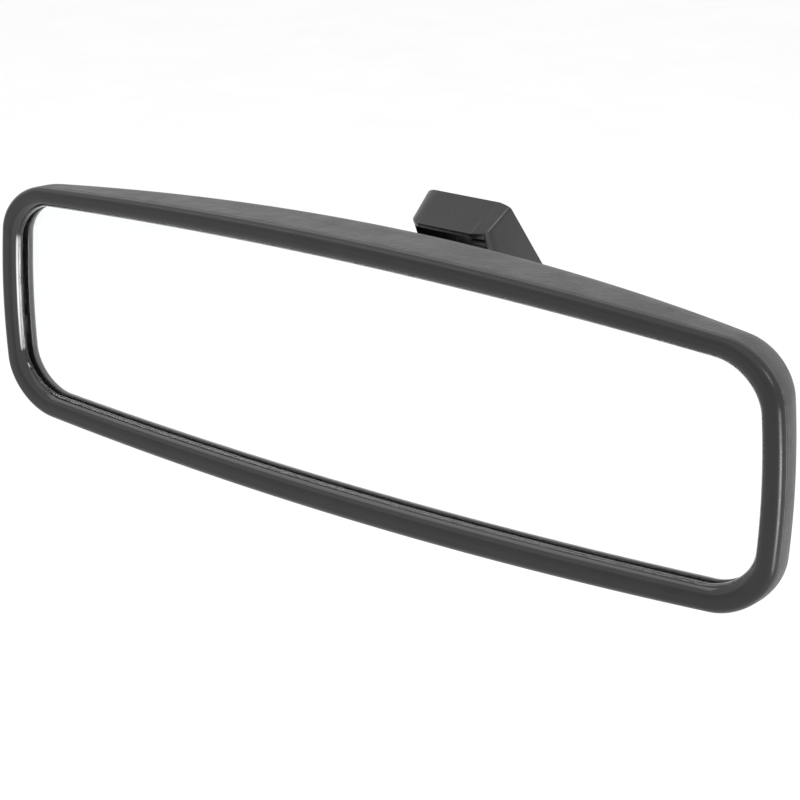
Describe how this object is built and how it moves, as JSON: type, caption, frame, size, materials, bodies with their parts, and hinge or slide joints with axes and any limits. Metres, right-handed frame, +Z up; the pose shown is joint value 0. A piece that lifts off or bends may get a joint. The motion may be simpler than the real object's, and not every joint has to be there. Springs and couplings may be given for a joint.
{
  "type": "interior rearview mirror",
  "caption": "Framed interior mirror whose head turns on a ball joint at the end of an arm, carried by a wedge-shaped foot that is bonded to a raked windscreen.",
  "frame": {"origin": "centre of the adhesive pad's outer face, where the foot meets the windscreen", "axes": "+X along the mirror head, +Y forward to the windscreen (the glass faces -Y), +Z up; the windscreen's normal is +Y turned 38 degrees up"},
  "size_m": [0.24, 0.0753, 0.0711],
  "materials": {
    "bezel_plastic": "satin soft-touch black",
    "housing_plastic": "fine moulded grain, dark grey",
    "foot_plastic": "satin black",
    "inner_plastic": "natural acetal",
    "clear_glass": "polished",
    "chrome_mirror": "silvered back of the glass",
    "foam": "closed-cell foam",
    "adhesive": "black acrylic foam tape",
    "cast_metal": "black coated zinc casting",
    "plate_steel": "sintered steel",
    "spring_steel": "spring temper",
    "screw_steel": "zinc plated"
  },
  "bodies": {
    "foot": {"adhesive_pad": "adhesive", "windscreen_plate": "plate_steel", "retaining_spring": "spring_steel", "locking_screw": "screw_steel", "foot_cover": "foot_plastic", "mounting_arm": "cast_metal"},
    "liner": {"ball_liner": "inner_plastic"},
    "cup": {"pressure_cup": "inner_plastic"},
    "head": {"front_bezel": "bezel_plastic", "mirror_glass": "clear_glass", "chrome_layer": "chrome_mirror", "backing_foam": "foam", "carrier_plate": "inner_plastic", "rear_housing": "housing_plastic", "socket_cap": "inner_plastic", "disc_spring": "spring_steel", "socket_screw_1": "screw_steel", "socket_screw_2": "screw_steel", "socket_screw_3": "screw_steel", "socket_screw_4": "screw_steel", "carrier_screw_1": "screw_steel", "carrier_screw_2": "screw_steel", "carrier_screw_3": "screw_steel", "carrier_screw_4": "screw_steel"}
  },
  "joints": [
    {"name": "head_yaw", "type": "hinge", "parent": "foot", "child": "liner", "pos_m": [0, -0.0398, -0.0174], "axis": [0, 0, 1], "range_deg": [-20, 20]},
    {"name": "head_pitch", "type": "hinge", "parent": "liner", "child": "cup", "pos_m": [0, -0.0398, -0.0174], "axis": [1, 0, 0], "range_deg": [-12, 12]},
    {"name": "head_roll", "type": "hinge", "parent": "cup", "child": "head", "pos_m": [0, -0.0398, -0.0174], "axis": [0, 1, 0], "range_deg": [-10, 10]}
  ]
}
